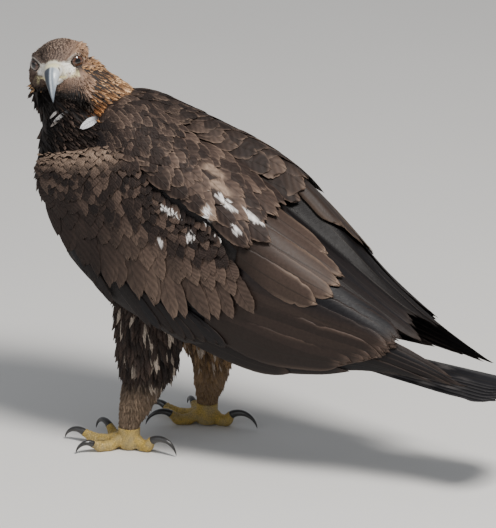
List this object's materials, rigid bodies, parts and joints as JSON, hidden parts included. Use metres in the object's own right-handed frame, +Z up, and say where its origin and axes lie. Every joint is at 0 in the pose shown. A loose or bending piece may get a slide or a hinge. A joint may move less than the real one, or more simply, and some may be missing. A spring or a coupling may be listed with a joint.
{
  "type": "golden eagle model",
  "caption": "Still life-size model of a golden eagle that stands on both feet with folded wings and looks to its left.",
  "frame": {"origin": "on the floor, under the middle of the model's bounding box", "axes": "+Z up, -Y where the breast faces, +Y along the tail, +X the bird's left side"},
  "size_m": [0.2352, 0.7144, 0.5431],
  "materials": {
    "torso": "matte",
    "neck": "matte",
    "head": "matte",
    "wing_left": "matte",
    "wing_right": "matte",
    "tail": "matte",
    "thigh_left": "matte",
    "thigh_right": "matte",
    "shank_left": "matte",
    "shank_right": "matte",
    "foot_left": "satin",
    "foot_right": "satin",
    "eye_left": "gloss",
    "eye_right": "gloss",
    "bill_upper": "satin",
    "bill_lower": "satin",
    "claw_left_inner": "satin",
    "claw_left_middle": "satin",
    "claw_left_outer": "satin",
    "claw_left_hind": "satin",
    "claw_right_inner": "satin",
    "claw_right_middle": "satin",
    "claw_right_outer": "satin",
    "claw_right_hind": "satin"
  },
  "bodies": {
    "root": {"torso": "torso", "neck": "neck", "head": "head", "wing_left": "wing_left", "wing_right": "wing_right", "tail": "tail", "thigh_left": "thigh_left", "thigh_right": "thigh_right", "shank_left": "shank_left", "shank_right": "shank_right", "foot_left": "foot_left", "foot_right": "foot_right", "eye_left": "eye_left", "eye_right": "eye_right", "bill_upper": "bill_upper", "bill_lower": "bill_lower", "claw_left_inner": "claw_left_inner", "claw_left_middle": "claw_left_middle", "claw_left_outer": "claw_left_outer", "claw_left_hind": "claw_left_hind", "claw_right_inner": "claw_right_inner", "claw_right_middle": "claw_right_middle", "claw_right_outer": "claw_right_outer", "claw_right_hind": "claw_right_hind"}
  },
  "joints": []
}
